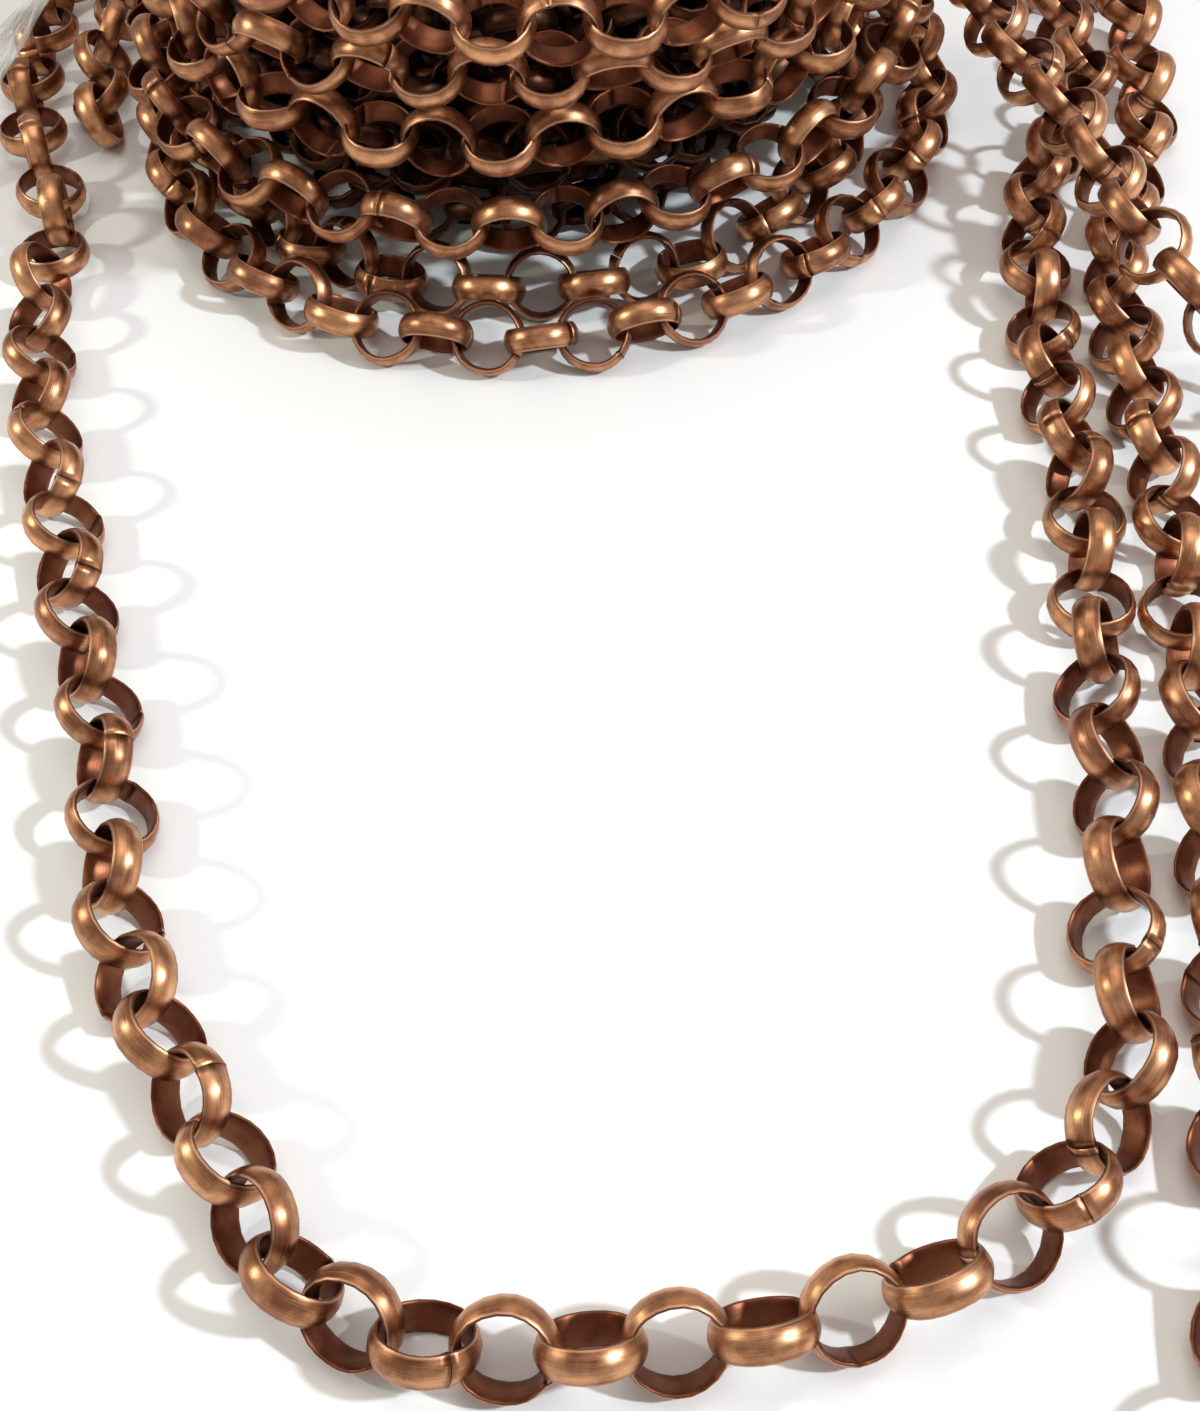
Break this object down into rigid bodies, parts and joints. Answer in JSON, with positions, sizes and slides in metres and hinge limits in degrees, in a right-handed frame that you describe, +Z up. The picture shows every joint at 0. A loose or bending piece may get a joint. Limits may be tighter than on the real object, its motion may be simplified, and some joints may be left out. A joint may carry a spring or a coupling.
{
  "type": "heap of rolo chain",
  "caption": "Heap of loose rolo chain: a coil of stacked turns with long open loops of round links beside it.",
  "frame": {"origin": "on the floor under the middle of the coil, which is the middle of the flat underside it rests on", "axes": "+Z up, -Y towards the open end of the loops, +X towards the side loop"},
  "size_m": [0.1539, 0.2369, 0.0408],
  "materials": {
    "chain_links": "antique copper plating on steel, brushed satin, rubbed brighter on the raised faces",
    "hidden_links": "the same plating in deep shade",
    "clear_film": "clear wrinkled packing film"
  },
  "bodies": {
    "root": {"front_loop_01": "chain_links", "front_loop_02": "chain_links", "front_loop_03": "chain_links", "front_loop_04": "chain_links", "front_loop_05": "chain_links", "front_loop_06": "chain_links", "front_loop_07": "chain_links", "front_loop_08": "chain_links", "front_loop_09": "chain_links", "front_loop_10": "chain_links", "front_loop_11": "chain_links", "side_loop_01": "chain_links", "side_loop_02": "chain_links", "side_loop_03": "chain_links", "side_loop_04": "chain_links", "side_loop_05": "chain_links", "side_loop_06": "chain_links", "side_loop_07": "chain_links", "side_loop_08": "chain_links", "side_loop_09": "chain_links", "side_loop_10": "chain_links", "left_end_01": "chain_links", "left_end_02": "chain_links", "coil_turn_1": "chain_links", "coil_turn_2": "chain_links", "coil_turn_3": "chain_links", "coil_turn_4": "chain_links", "coil_turn_5": "chain_links", "coil_top_spiral": "chain_links", "coil_core": "hidden_links", "film_strip": "clear_film"}
  },
  "joints": []
}
